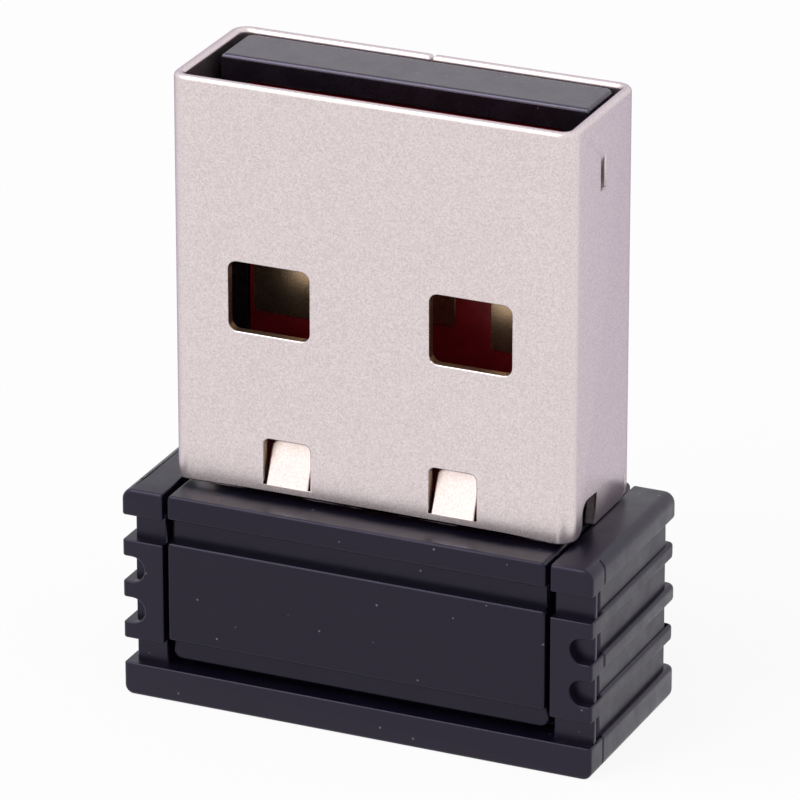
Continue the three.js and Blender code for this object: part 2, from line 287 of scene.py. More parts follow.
# %% From bmesh to object
def as_object(shape, name):
    """Put a bmesh in the scene as an object."""
    mesh = bpy.data.meshes.new(name)
    bmesh.ops.recalc_face_normals(shape, faces=shape.faces)
    shape.to_mesh(mesh)
    shape.free()
    made = bpy.data.objects.new(name, mesh)
    scene.collection.objects.link(made)
    return made


def bake(piece):
    """Replace a piece's mesh by what its modifiers make of it."""
    graph = bpy.context.evaluated_depsgraph_get()
    baked = bpy.data.meshes.new_from_object(piece.evaluated_get(graph), depsgraph=graph)
    piece.modifiers.clear()
    before = piece.data
    piece.data = baked
    bpy.data.meshes.remove(before)
    baked.name = piece.name


# %% Cut and join
def combine(piece, shapes, operation):
    """Join shapes on to a piece, or cut them from it, one after another."""
    helpers = [as_object(shape, "helper") for shape in shapes]
    for helper in helpers:
        modifier = piece.modifiers.new("combine", "BOOLEAN")
        modifier.operation = operation
        modifier.solver = "EXACT"
        modifier.object = helper
    bake(piece)
    for helper in helpers:
        mesh = helper.data
        bpy.data.objects.remove(helper)
        bpy.data.meshes.remove(mesh)


def cut(piece, shapes):
    combine(piece, shapes, "DIFFERENCE")


def join(piece, shapes):
    combine(piece, shapes, "UNION")


# %% Round the edges of a finished outline
def merged(piece):
    """A piece's mesh as a bmesh with the boolean's spare points and lines taken out."""
    shape = bmesh.new()
    shape.from_mesh(piece.data)
    bmesh.ops.remove_doubles(shape, verts=shape.verts, dist=SAME_POINT)
    bmesh.ops.dissolve_limit(
        shape, angle_limit=FLAT_ANGLE, verts=shape.verts, edges=shape.edges,
    )
    return shape


def tidy_corners(piece, axis, radius, chosen):
    """Round chosen corners of a finished outline, before the small edge radii go on."""
    shape = round_along(merged(piece), axis, radius, chosen)
    shape.to_mesh(piece.data)
    shape.free()


def soften(piece, radius_at, segments=3):
    """Round every outward edge by the radius that radius_at gives for its middle."""
    shape = merged(piece)
    weights = shape.edges.layers.float.new("bevel_weight_edge")
    radii = {}
    for edge in shape.edges:
        if len(edge.link_faces) != 2 or edge.calc_face_angle() <= SHARP_ANGLE:
            continue
        if edge.is_convex:
            radii[edge] = radius_at((edge.verts[0].co + edge.verts[1].co) / 2)
        else:
            edge.smooth = False
    largest = max(radii.values())
    for edge, radius in radii.items():
        edge[weights] = radius / largest
    for face in shape.faces:
        face.smooth = True
    shape.to_mesh(piece.data)
    shape.free()
    modifier = piece.modifiers.new("soften", "BEVEL")
    modifier.limit_method = "WEIGHT"
    modifier.offset_type = "OFFSET"
    modifier.width = largest
    modifier.segments = segments
    modifier.use_clamp_overlap = False
    modifier.harden_normals = True
    modifier.miter_outer = "MITER_ARC"
    bake(piece)
    print(piece.name, "has", len(radii), "rounded edges and", len(piece.data.polygons), "faces")


# %% Place a finished piece
def place(piece, material, replaced):
    """Finish a piece: metres, material, body, and hide the CAD node it stands for."""
    piece.data.transform(Matrix.Scale(MM, 4))
    piece.data.materials.clear()
    piece.data.materials.append(material)
    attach(piece, "root")
    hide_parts(replaced)


# %% [markdown]
# ## Satin nickel on steel
# A USB plug is pressed from thin steel strip and plated with dull nickel. The plating is a
# metal, so all its colour is in its reflection: a warm pale grey. A real plating's grain is
# too fine to show at this size, so it is drawn about a twentieth of a millimetre wide. Its
# dullness drifts in clouds a few millimetres across, as it does on a rolled strip.


# %% Make satin nickel
NICKEL_GRAIN, NICKEL_CLOUDS = 0.045, 2.5


def satin_nickel():
    material, tree, output = new_material("satin_nickel_plate")
    place_mm = millimetres(tree)
    grain = add_node(
        tree, "ShaderNodeTexNoise",
        {"Scale": 1 / NICKEL_GRAIN, "Detail": 2.0, "Roughness": 0.5}, {"Vector": place_mm},
    )
    clouds = add_node(
        tree, "ShaderNodeTexNoise",
        {"Scale": 1 / NICKEL_CLOUDS, "Detail": 4.0, "Roughness": 0.55}, {"Vector": place_mm},
    )
    colour = add_node(tree, "ShaderNodeValToRGB", links={"Fac": grain.outputs["Fac"]})
    colour.color_ramp.elements[0].position = 0.28
    colour.color_ramp.elements[0].color = linear("D3C5C7")
    colour.color_ramp.elements[1].position = 0.72
    colour.color_ramp.elements[1].color = linear("EFE4E3")
    roughness = add_node(
        tree, "ShaderNodeMapRange",
        {"From Min": 0.3, "From Max": 0.7, "To Min": 0.27, "To Max": 0.36},
        {"Value": clouds.outputs["Fac"]},
    )
    bump = add_node(
        tree, "ShaderNodeBump", {"Strength": 0.35, "Distance": 0.004 * MM},
        {"Height": grain.outputs["Fac"]},
    )
    # The dark lilac specular tint is painted shade: it darkens whatever the nickel shows at a
    # glancing angle, such as the side walls and the top of the rim, and turns it lilac, in place
    # of the darker room that those faces reflect.
    surface = add_node(
        tree, "ShaderNodeBsdfPrincipled",
        {"Metallic": 1.0, "Specular Tint": (0.46, 0.42, 0.56, 1.0)},
        {
            "Base Color": colour.outputs["Color"],
            "Roughness": roughness.outputs["Result"],
            "Normal": bump.outputs["Normal"],
        },
    )
    tree.links.new(surface.outputs[0], output.inputs["Surface"])
    return material


nickel = satin_nickel()
print("made", nickel.name)

# %% [markdown]
# ## The raw edge of the strip
# The strip is plated before it is punched, so the edges of its windows are bare, warm and
# duller. This is a second finish on the same piece, given to those faces alone. The torn grain
# of a sheared edge is drawn a little coarser than it is.


# %% Make the raw sheared edge
SHEAR_GRAIN = 0.06


def sheared_steel():
    material, tree, output = new_material("sheared_strip_edge")
    tear = add_node(
        tree, "ShaderNodeTexNoise", {"Scale": 1 / SHEAR_GRAIN, "Detail": 3.0, "Roughness": 0.6},
        {"Vector": millimetres(tree)},
    )
    tones = add_node(
        tree, "ShaderNodeMixRGB", {"Color1": linear("7A5A3E"), "Color2": linear("D9C2A4")},
        {"Fac": tear.outputs["Fac"]},
    )
    bump = add_node(
        tree, "ShaderNodeBump", {"Strength": 0.5, "Distance": 0.008 * MM},
        {"Height": tear.outputs["Fac"]},
    )
    surface = add_node(
        tree, "ShaderNodeBsdfPrincipled", {"Metallic": 1.0, "Roughness": 0.38},
        {"Base Color": tones.outputs["Color"], "Normal": bump.outputs["Normal"]},
    )
    tree.links.new(surface.outputs[0], output.inputs["Surface"])
    return material


raw_edge = sheared_steel()
print("made", raw_edge.name)

# %% [markdown]
# ## Moulded black ABS
# The cap and the housing inside it are black ABS from a spark-eroded mould, which leaves a very
# fine dull texture, drawn a little coarser here so that it shows. Black plastic has almost no
# colour of its own: what shows is the white room in its surface. A few specks of pale dust
# cling to it, so a pattern of cells picks some cells and draws one speck in each.


# %% Make moulded ABS
SPARK_TEXTURE, DULL_PATCHES, DUST_SPACING = 0.09, 0.8, 0.55
DUST_CORE, DUST_EDGE = 0.03, 0.075  # radii of a speck as shares of the spacing


def moulded_black(name, colour, roughness, gloss, speck_share):
    material, tree, output = new_material(name)
    place_mm = millimetres(tree)
    texture = add_node(
        tree, "ShaderNodeTexNoise",
        {"Scale": 1 / SPARK_TEXTURE, "Detail": 2.0, "Roughness": 0.5}, {"Vector": place_mm},
    )
    patches = add_node(
        tree, "ShaderNodeTexNoise",
        {"Scale": 1 / DULL_PATCHES, "Detail": 5.0, "Roughness": 0.65}, {"Vector": place_mm},
    )
    dust = add_node(
        tree, "ShaderNodeTexVoronoi", {"Scale": 1 / DUST_SPACING}, {"Vector": place_mm},
    )
    dust_pick = add_node(
        tree, "ShaderNodeSeparateColor", links={"Color": dust.outputs["Color"]},
    )
    dust_chosen = add_node(
        tree, "ShaderNodeMath", {1: speck_share}, {0: dust_pick.outputs[0]}, operation="LESS_THAN",
    )
    dust_size = add_node(
        tree, "ShaderNodeMapRange",
        {"From Min": DUST_CORE, "From Max": DUST_EDGE, "To Min": 1.0, "To Max": 0.0},
        {"Value": dust.outputs["Distance"]},
    )
    speck = add_node(
        tree, "ShaderNodeMath",
        links={0: dust_size.outputs["Result"], 1: dust_chosen.outputs[0]}, operation="MULTIPLY",
    )
    base = add_node(
        tree, "ShaderNodeMixRGB", {"Color1": linear(colour), "Color2": linear("77757F")},
        {"Fac": speck.outputs[0]},
    )
    dullness = add_node(
        tree, "ShaderNodeMapRange",
        {"From Min": 0.3, "From Max": 0.7, "To Min": roughness[0], "To Max": roughness[1]},
        {"Value": patches.outputs["Fac"]},
    )
    bump = add_node(
        tree, "ShaderNodeBump", {"Strength": 0.4, "Distance": 0.006 * MM},
        {"Height": texture.outputs["Fac"]},
    )
    # The violet specular tint is a painted reflection colour: it tints everything the black
    # plastic reflects violet, standing in for a violet cast of the light above it.
    surface = add_node(
        tree, "ShaderNodeBsdfPrincipled",
        {"IOR": 1.5, "Specular IOR Level": gloss, "Specular Tint": (0.84, 0.74, 1.0, 1.0)},
        {
            "Base Color": base.outputs["Color"],
            "Roughness": dullness.outputs["Result"],
            "Normal": bump.outputs["Normal"],
        },
    )
    tree.links.new(surface.outputs[0], output.inputs["Surface"])
    return material


# In each: colour, lowest and highest roughness, strength of the reflection, share of specks.
cap_abs = moulded_black("spark_textured_black_abs", "0E0C1A", (0.28, 0.42), 0.44, 0.5)
panel_abs = moulded_black("satin_black_abs", "0C0C18", (0.26, 0.38), 0.38, 0.5)
tongue_plastic = moulded_black("black_glass_filled_pbt", "0A080F", (0.2, 0.34), 1.0, 0.7)
print("made", cap_abs.name, panel_abs.name, tongue_plastic.name)

# %% [markdown]
# ## The plug shell
# On the real plug a flat strip is punched, then folded round into a box with square latch
# windows, two lanced tabs near the cap and short feet on its side walls. It could be unfolded
# and bent here too, but starting from the folded box and punching it gives the same shape with
# far fewer steps, and the bevel then rounds every punched edge alike.

# %% Sizes of the plug shell
SHEET, SHELL_CORNER, SHELL_LIFT = 0.3, 0.5, 0.13
WINDOW_WIDTH, WINDOW_HEIGHT = 2.45, 2.05
WINDOW_CENTRE, WINDOW_FROM_TIP, WINDOW_CORNER = 3.02, 5.2, 0.26
LANCE_WIDTH, LANCE_HEIGHT, LANCE_CENTRE = 1.28, 1.3, 2.5
LANCE_FROM_BOTTOM, LANCE_SLIT, LANCE_CORNER = 0.27, 0.07, 0.2
LANCE_ANGLE = math.atan2(0.55, LANCE_HEIGHT)
NOTCH_START, NOTCH_LENGTH, NOTCH_HEIGHT, NOTCH_CORNER = -1.12, 0.97, 0.9, 0.35
FOOT_LENGTH, FOOT_LEAN, FOOT_REST = 2.05, 0.06, 0.02
DETENT_Y, DETENT_WIDTH, DETENT_FROM_TIP, DETENT_HEIGHT = 0.08, 0.3, 1.29, 0.95
DETENT_PAST = 0.16
SEAM = 0.05
HEM_CORNER = 0.36
RIM_ROUND, EDGE_ROUND = 0.13, 0.045

shell_side = shell_high.x
shell_front, shell_rear, shell_tip = shell_low.y, shell_high.y, shell_high.z
shell_bottom = cap_high.z + SHELL_LIFT
foot_top = shell_bottom + NOTCH_HEIGHT
foot_start = NOTCH_START + NOTCH_LENGTH
print("the shell runs from", round(shell_bottom, 3), "to", round(shell_tip, 3))


# %% Fold the sleeve
def shell_sleeve():
    """The folded sheet: an outer box with rounded corners, hollowed by a smaller one."""
    outer = box((-shell_side, shell_side), (shell_front, shell_rear), (shell_bottom, shell_tip))
    sleeve = as_object(round_along(outer, 2, SHELL_CORNER, segments=10), "folded_plug_shell")
    inside = shell_side - SHEET
    hollow = box(
        (-inside, inside), (shell_front + SHEET, shell_rear - SHEET),
        (shell_bottom - PAST, shell_tip + PAST),
    )
    cut(sleeve, [round_along(hollow, 2, SHELL_CORNER - SHEET, segments=10)])
    return sleeve


# %% [markdown]
# Windows, tabs and notches are all punched at once on the real strip. Here each is a box that
# the shell is cut by, or joined to, with the corners that the punch leaves.


# %% Windows
def latch_windows():
    """The square holes in both broad sides, which the socket's springs drop into."""
    top = shell_tip - WINDOW_FROM_TIP
    shapes = []
    for side in (-1, 1):
        x = on_side(side, WINDOW_CENTRE - WINDOW_WIDTH / 2, WINDOW_CENTRE + WINDOW_WIDTH / 2)
        through = box(x, (shell_front - PAST, shell_rear + PAST), (top - WINDOW_HEIGHT, top))
        shapes.append(round_along(through, 1, WINDOW_CORNER))
    return shapes


# %% Lanced tabs
def lance_holes():
    """The openings that the two tabs are lanced out of."""
    bottom = shell_bottom + LANCE_FROM_BOTTOM
    top = bottom + LANCE_HEIGHT + LANCE_SLIT
    half = LANCE_WIDTH / 2 + LANCE_SLIT
    shapes = []
    for side in (-1, 1):
        x = on_side(side, LANCE_CENTRE - half, LANCE_CENTRE + half)
        hole = box(x, (shell_front - PAST, shell_front + PAST), (bottom, top))
        upper = lambda middle: middle.z > bottom + MARGIN
        shapes.append(round_along(hole, 1, LANCE_CORNER, upper))
    return shapes


def lance_tabs():
    """The tabs themselves, bent inwards about their lower ends."""
    root = Vector((0, shell_front, shell_bottom + LANCE_FROM_BOTTOM))
    lean = Matrix.Rotation(-LANCE_ANGLE, 3, "X")
    shapes = []
    for side in (-1, 1):
        x = on_side(side, LANCE_CENTRE - LANCE_WIDTH / 2, LANCE_CENTRE + LANCE_WIDTH / 2)
        tab = box(x, (shell_front, shell_front + SHEET), (root.z, root.z + LANCE_HEIGHT))
        round_along(tab, 1, LANCE_CORNER, lambda middle: middle.z > root.z + MARGIN)
        bmesh.ops.rotate(tab, cent=root, matrix=lean, verts=tab.verts)
        shapes.append(tab)
    return shapes


# %% Notches and feet
def side_notches():
    """The cut-outs at the lower end of both side walls, with a rounded front top corner."""
    shapes = []
    for side in (-1, 1):
        x = on_side(side, shell_side - SHELL_CORNER - PAST / 2, shell_side + PAST)
        y = (NOTCH_START, foot_start + FOOT_LENGTH)
        notch = box(x, y, (shell_bottom - PAST, foot_top))
        shapes.append(round_along(
            notch, 0, NOTCH_CORNER,
            lambda middle: middle.z > foot_top - MARGIN and middle.y < foot_start,
        ))
    return shapes


def wall_feet():
    """The lower end of each side wall, drawn down onto the cap and slightly inwards."""
    shapes = []
    for side in (-1, 1):
        x = on_side(side, shell_side - SHEET, shell_side)
        foot = box(x, (foot_start, foot_start + FOOT_LENGTH), (foot_top, foot_top + SHEET))
        under = [face for face in foot.faces if face.normal.z < -0.9]
        drawn = bmesh.ops.extrude_face_region(foot, geom=under)
        moved = [item for item in drawn["geom"] if isinstance(item, bmesh.types.BMVert)]
        step = Vector((-side * FOOT_LEAN, 0, cap_high.z + FOOT_REST - foot_top))
        bmesh.ops.translate(foot, vec=step, verts=moved)
        # An extrusion can leave the face that it started from inside the shape.
        left_inside = [face for face in under if face.is_valid]
        bmesh.ops.delete(foot, geom=left_inside, context="FACES")
        shapes.append(foot)
    return shapes


# %% Detents
def detent_cuts():
    """The small lanced pips near the open end: a ramp down into the wall, ending in a hole."""
    top = shell_tip - DETENT_FROM_TIP
    shapes = []
    for side in (-1, 1):
        x = on_side(side, shell_side - SHEET - DETENT_PAST, shell_side + SHEET)
        y = (DETENT_Y - DETENT_WIDTH / 2, DETENT_Y + DETENT_WIDTH / 2)
        ramp = box(x, y, (top - DETENT_HEIGHT, top))
        inner_top = [
            vert for vert in ramp.verts
            if vert.co.z > top - MARGIN and abs(vert.co.x) < shell_side - SHEET / 2
        ]
        bmesh.ops.translate(ramp, vec=(side * (SHEET + DETENT_PAST), 0, 0), verts=inner_top)
        shapes.append(ramp)
    return shapes


# %% [markdown]
# A sheared edge is never quite straight, so the lower edge of the front wall is cut by a box
# whose top has a few slow waves in it. They fade out towards the corners of the shell.


# %% The wavy hem
HEM_WAVE, HEM_CUTS, WAVE_FADE = 0.022, 47, 6
# Each wave: its share, how fast it runs in radians per millimetre, and where it starts.
WAVES = ((1.0, 1.9, 0.8), (0.6, 4.7, 0.0), (0.35, 9.1, 2.0))


def sheared_hem():
    """A cutter with a slightly wavy top, which leaves the uneven lower edge of a sheared strip."""
    hem = box(
        (-shell_side + SHELL_CORNER, shell_side - SHELL_CORNER),
        (shell_front - PAST, shell_front + SHEET + MARGIN),
        (shell_bottom - PAST, shell_bottom - NEAR / 10),
    )
    along_x = [edge for edge in hem.edges if abs(edge.verts[0].co.x - edge.verts[1].co.x) > PAST]
    bmesh.ops.subdivide_edges(hem, edges=along_x, cuts=HEM_CUTS, use_grid_fill=True)
    for vert in hem.verts:
        if vert.co.z > shell_bottom - PAST / 2:
            x = vert.co.x
            fade = 1 - (x / shell_side) ** WAVE_FADE
            wave = sum(share * math.sin(pace * x + start) for share, pace, start in WAVES)
            vert.co.z += HEM_WAVE * max(0.0, 1 + wave) * fade
    return hem


# %% Put the shell together
shell = shell_sleeve()
seam = box(
    (-SEAM / 2, SEAM / 2), (shell_rear - SHEET - MARGIN, shell_rear + PAST),
    (shell_bottom - PAST, shell_tip + PAST),
)
cut(shell, [
    *latch_windows(), *lance_holes(), *side_notches(), *detent_cuts(), sheared_hem(), seam,
])
join(shell, [*lance_tabs(), *wall_feet()])
tidy_corners(
    shell, 0, HEM_CORNER,
    lambda middle: middle.z < shell_bottom + NEAR and abs(middle.y - NOTCH_START) < NEAR,
)
soften(shell, lambda middle: RIM_ROUND if middle.z > shell_tip - NEAR else EDGE_ROUND)
place(shell, nickel, "plug_shell")

# %% Bare the window edges
shell.data.materials.append(raw_edge)
ACROSS_WALL = 0.3  # a face whose normal has less than this along Y crosses the broad walls
sheared = 0
for face in shell.data.polygons:
    centre = face.center / MM
    depth = min(centre.y - shell_front, shell_rear - centre.y, shell_side - abs(centre.x))
    across_wall = abs(face.normal.y) < ACROSS_WALL
    in_broad_wall = abs(centre.x) < shell_side - SHELL_CORNER and across_wall
    in_sheet = EDGE_ROUND < depth < SHEET - EDGE_ROUND
    if in_sheet and in_broad_wall and centre.z < shell_tip - SHEET:
        face.material_index = 1
        sheared += 1
print("faces of raw sheared edge:", sheared)

# %% [markdown]
# ## The tongue
# The black block in the plug holds the board and gives the contacts their backing. It is glass
# filled PBT, stiff and slightly glossy. The edges of its end are rounder, to lead the socket in.

# %% Make the tongue
TONGUE_CORNER, TONGUE_TIP_ROUND, TONGUE_EDGE = 0.3, 0.12, 0.05
BOARD_GAP = 0.05
BOARD_SLOT_SIDE, WAIST_SIDE = 4.7, 4.69

tongue = as_object(round_along(
    box((tongue_low.x, tongue_high.x), (board_low.y, tongue_high.y), (foot_top, tongue_high.z)),
    2, TONGUE_CORNER, lambda middle: middle.y > board_high.y,
), "plug_tongue_block")
cut(tongue, [box(
    (-BOARD_SLOT_SIDE, BOARD_SLOT_SIDE), (board_low.y - PAST, board_high.y),
    (foot_top - PAST, board_high.z + BOARD_GAP),
)])
join(tongue, [box(
    (-WAIST_SIDE, WAIST_SIDE), (board_high.y, tongue_high.y),
    (tongue_low.z, foot_top + BOARD_GAP),
)])
soften(
    tongue,
    lambda middle: TONGUE_TIP_ROUND if middle.z > tongue_high.z - NEAR else TONGUE_EDGE,
)
place(tongue, tongue_plastic, "plug_tongue")

# %% [markdown]
# ## The grip cap
# The cap is one moulding: a floor, and a ribbed block at each end that fingers hold. Its outer
# edges are rounded first, while it is still a plain block, because they all run on round the
# corners. The grooves are cut after that, as a mould's ribs would form them, and their fresh
# edges get radii of their own. The ribs on the two sides end up almost half round. The mould
# parts along a fine line on each side, and the ribs behind it are the rounder ones.

# %% Sizes of the cap
CAP_FLOOR, TOP_FLANGE = 0.98, 0.8
RIBS, RIB_HEIGHT = 3, 0.5
SIDE_GROOVE, FACE_GROOVE = 0.17, 0.33
END_BLOCK, POCKET_LENGTH = 1.255, 0.67
POST, POST_INSET, SLOT, SLOT_DEPTH = 0.2, 0.045, 0.38, 0.5
PARTING_LINE, LEFT_GROOVE, LOW_RIB = 0.02, 0.28, 0.06
TOP_ROUND, BOTTOM_ROUND, FRONT_ROUND, REAR_ROUND = 0.33, 0.27, 0.11, 0.25
RIB_ROUND, STEP_ROUND = 0.12, 0.055
RIB_ZONE_X, RIB_ZONE_Z = 6.2, (0.9, 5.6)
RIM_SEGMENTS = 5
SNAP_HALF, SNAP_Z, SNAP_REACH, SNAP_PLAY = 1.0, (3.35, 3.85), 0.3, 0.12
HOUSING_GAP, HOUSING_SIDE_WALL = 0.14, 1.02
FIT = 0.05

cap_side, cap_front, cap_rear, cap_top = cap_high.x, cap_low.y, cap_high.y, cap_high.z
block_inside = cap_side - END_BLOCK
housing_side = block_inside - HOUSING_GAP
recess = cap_rear - FACE_GROOVE
slot_front = -recess + POST
slot_rear = slot_front + SLOT
groove_height = (cap_top - TOP_FLANGE - CAP_FLOOR - RIBS * RIB_HEIGHT) / (RIBS + 1)
grooves = []
for index in range(RIBS + 1):
    groove_bottom = CAP_FLOOR + index * (groove_height + RIB_HEIGHT)
    grooves.append((groove_bottom, groove_bottom + groove_height))
print("grooves from the floor up:", [tuple(round(z, 3) for z in groove) for groove in grooves])


# %% The plain block
def cap_block():
    """The plain block, with its long side edges rounded and then its front and rear rims."""
    block = box((-cap_side, cap_side), (cap_front, cap_rear), (0, cap_top))
    round_along(block, 1, TOP_ROUND, lambda middle: middle.z > cap_top / 2)
    round_along(block, 1, BOTTOM_ROUND, lambda middle: middle.z < cap_top / 2)
    for y, radius in ((cap_front, FRONT_ROUND), (cap_rear, REAR_ROUND)):
        rim = [
            edge for edge in block.edges
            if all(abs(vert.co.y - y) < SAME_POINT for vert in edge.verts)
        ]
        bmesh.ops.bevel(
            block, geom=rim, offset=radius, offset_type="OFFSET", segments=RIM_SEGMENTS,
            profile=0.5, affect="EDGES", material=-1, clamp_overlap=False,
        )
    return block


# %% Finger grooves
def end_pocket(side, z, y):
    """A groove that stops short on the face of an end block, with a round inner end."""
    pocket = box(on_side(side, cap_side - POCKET_LENGTH, cap_side + PAST), y, z)
    inner = cap_side - POCKET_LENGTH + MARGIN
    half_round = groove_height / 2 - NEAR / 10
    return round_along(pocket, 1, half_round, lambda middle: abs(middle.x) < inner)


def groove_cutters(side, z, runs_across):
    """What leaves one finger groove at one end of the cap."""
    outside = cap_side + PAST
    if side > 0:
        cutters = [
            box((cap_side - SIDE_GROOVE, outside), (slot_rear, cap_rear + PAST), z),
            box((cap_side - SLOT_DEPTH, outside), (slot_front - NEAR, slot_rear), z),
            box((cap_side - POST_INSET, outside), (cap_front - PAST, slot_front), z),
        ]
    else:
        cutters = [
            box((-outside, -cap_side + LEFT_GROOVE), (cap_front - PAST, cap_rear + PAST), z),
        ]
    for y in ((cap_front - PAST, -recess), (recess, cap_rear + PAST)):
        if runs_across:
            cutters.append(box(on_side(side, block_inside - PAST, outside), y, z))
        else:
            cutters.append(end_pocket(side, z, y))
    return cutters


# %% Cut the cap
cap = as_object(cap_block(), "ribbed_grip_cap")
SNAP_BITE = 0.5
cutters = [box(
    (-block_inside, block_inside), (cap_front - PAST, cap_rear + PAST),
    (CAP_FLOOR, cap_top + PAST),
)]
for side in (-1, 1):
    for index, z in enumerate(grooves):
        cutters += groove_cutters(side, z, runs_across=index in (0, RIBS))
    snap_z = (SNAP_Z[0] - SNAP_PLAY, SNAP_Z[1] + SNAP_PLAY)
    snap_half = SNAP_HALF + SNAP_PLAY
    snap_end = housing_side + SNAP_REACH + SNAP_PLAY
    cutters.append(box(
        on_side(side, block_inside - SNAP_BITE, snap_end), (-snap_half, snap_half), snap_z,
    ))
    for below, above in ((grooves[0], grooves[1]), (grooves[2], grooves[3])):
        cutters.append(box(
            on_side(side, cap_side - LOW_RIB, cap_side + PAST),
            (slot_rear, cap_rear + PAST), (below[1] - FIT, above[0] + FIT),
        ))
    depth = SIDE_GROOVE if side > 0 else LEFT_GROOVE
    cutters.append(box(
        on_side(side, cap_side - depth, cap_side + PAST),
        (slot_rear - PARTING_LINE, slot_rear), (-PAST, cap_top + PAST),
    ))
cut(cap, cutters)
print("the cap took", len(cutters), "cuts")


# %% Round the cap's edges
def cap_radius(middle):
    """Ribs on the sides are almost half round, and the moulded steps are nearly sharp."""
    behind_line = middle.y > slot_rear - NEAR / 10
    at_ribs = RIB_ZONE_Z[0] < middle.z < RIB_ZONE_Z[1]
    return RIB_ROUND if abs(middle.x) > RIB_ZONE_X and behind_line and at_ribs else STEP_ROUND


soften(cap, cap_radius)
place(cap, cap_abs, "grip_cap")

# %% [markdown]
# ## The inner housing
# Two black half shells close round the board and snap into the cap. Their outer faces carry on
# the cap's bands: a flush band at the top, a groove, the main panel, and a lip set back at the
# bottom. Each half is a block with those steps cut in its face and a hollow for the board.

# %% Sizes of the housing
HOUSING_WALL, ROOF = 0.6, 0.7
LIP_BOTTOM, LIP_TOP = 1.2, 1.886
BAND_GROOVE = (4.86, 5.566)
FLOOR_THICKNESS = 0.62
HOUSING_EDGE, TOP_CORNER, LIP_CORNER, BAND_CORNER = 0.09, 0.14, 0.28, 0.1
NECK_SIDE = 4.7

halves_meet = node_box("front_housing")[1].y
cavity_side = housing_side - HOUSING_SIDE_WALL
cavity_top = cap_top - ROOF
cavity_rear = recess - HOUSING_WALL
print("the halves meet at y =", round(halves_meet, 3))


# %% Mould the two halves
def housing_half(name, facing, extra_cuts):
    """One half; facing is -1 for the front one and 1 for the rear one."""
    outer, meet = facing * cap_rear, halves_meet
    body = as_object(
        box((-housing_side, housing_side), sorted((outer, meet)), (CAP_FLOOR, cap_top)), name,
    )
    nub_y = sorted((facing * SNAP_HALF, meet))
    join(body, [box(on_side(side, cavity_side, housing_side + SNAP_REACH), nub_y, SNAP_Z)
                for side in (-1, 1)])
    wide = (-housing_side - PAST, housing_side + PAST)
    beyond = facing * (cap_rear + PAST)
    steps = (
        (facing * recess, BAND_GROOVE),
        (facing * recess, (CAP_FLOOR - PAST, LIP_TOP)),
        (facing * cavity_rear, (CAP_FLOOR - PAST, LIP_BOTTOM)),
    )
    cutters = [box(wide, sorted((near, beyond)), z) for near, z in steps]
    hollow_y = sorted((facing * cavity_rear, meet - facing * PAST))
    hollow_z = (CAP_FLOOR + FLOOR_THICKNESS, cavity_top)
    cutters.append(box((-cavity_side, cavity_side), hollow_y, hollow_z))
    cut(body, cutters + extra_cuts)
    corners = ((cap_top, TOP_CORNER), (LIP_BOTTOM, LIP_CORNER), (BAND_GROOVE[0], BAND_CORNER))
    for level, radius in corners:
        tidy_corners(
            body, 1, radius,
            lambda middle: abs(middle.z - level) < NEAR and abs(middle.x) > housing_side - NEAR,
        )
    soften(body, lambda middle: HOUSING_EDGE, segments=4)
    place(body, panel_abs, "front_housing" if facing < 0 else "rear_housing")


# %% Make both halves
board_seat = box(
    (-board_high.x - FIT, board_high.x + FIT), (halves_meet - PAST, board_high.y),
    (board_low.z - FIT, cavity_top),
)
tongue_slot = box(
    (-NECK_SIDE - FIT, NECK_SIDE + FIT), (halves_meet - PAST, tongue_high.y + FIT),
    (tongue_low.z - FIT, cap_top + PAST),
)
housing_half("front_housing_half", -1, [])
housing_half("rear_housing_half", 1, [board_seat, tongue_slot])

# %% [markdown]
# ## Plain finishes for the board and its parts
# The rest of the finishes share one recipe: two tones mixed by a fine grain, a roughness that
# drifts a little, and a shallow bump. What changes from one to the next is the real material.
# The grains of metals and ceramics are finer than the view can show, so they are drawn coarser.


# %% Make the smaller finishes
def grained(name, dark, light, grain, roughness, bump_height, **constants):
    """A finish with a grain of that size in millimetres and a roughness between two values."""
    material, tree, output = new_material(name)
    place_mm = millimetres(tree)
    fine = add_node(
        tree, "ShaderNodeTexNoise", {"Scale": 1 / grain, "Detail": 3.0, "Roughness": 0.55},
        {"Vector": place_mm},
    )
    tones = add_node(
        tree, "ShaderNodeMixRGB", {"Color1": linear(dark), "Color2": linear(light)},
        {"Fac": fine.outputs["Fac"]},
    )
    dullness = add_node(
        tree, "ShaderNodeMapRange",
        {"From Min": 0.3, "From Max": 0.7, "To Min": roughness[0], "To Max": roughness[1]},
        {"Value": fine.outputs["Fac"]},
    )
    bump = add_node(
        tree, "ShaderNodeBump", {"Strength": 0.4, "Distance": bump_height * MM},
        {"Height": fine.outputs["Fac"]},
    )
    surface = add_node(
        tree, "ShaderNodeBsdfPrincipled", constants,
        {
            "Base Color": tones.outputs["Color"],
            "Roughness": dullness.outputs["Result"],
            "Normal": bump.outputs["Normal"],
        },
    )
    tree.links.new(surface.outputs[0], output.inputs["Surface"])
    return material


# %% [markdown]
# In each finish below: the two tones, the grain in millimetres, the lowest and highest roughness
# and the height of the bump in millimetres.

# %% The smaller finishes
# Liquid solder mask over copper and glass cloth: a glossy lacquer with a faint weave under it.
solder_mask = grained("red_solder_mask", "66050F", "8A0916", 0.35, (0.3, 0.45), 0.006, IOR=1.55)
# Hard gold on nickel, rolled and plated: warm, bright, very slightly streaked.
hard_gold = grained(
    "hard_gold_on_nickel", "B89C7C", "DCC4A4", 0.04, (0.2, 0.3), 0.003, Metallic=1.0,
)
# Transfer-moulded epoxy with silica in it: dull and dark with a faint sparkle.
mould_compound = grained(
    "black_epoxy_compound", "161618", "26262A", 0.05, (0.5, 0.65), 0.003, IOR=1.55,
)
# Drawn nickel can over a quartz plate.
nickel_can = grained(
    "drawn_nickel_can", "BDBDC0", "D6D6D8", 0.2, (0.22, 0.34), 0.002, Metallic=1.0,
)
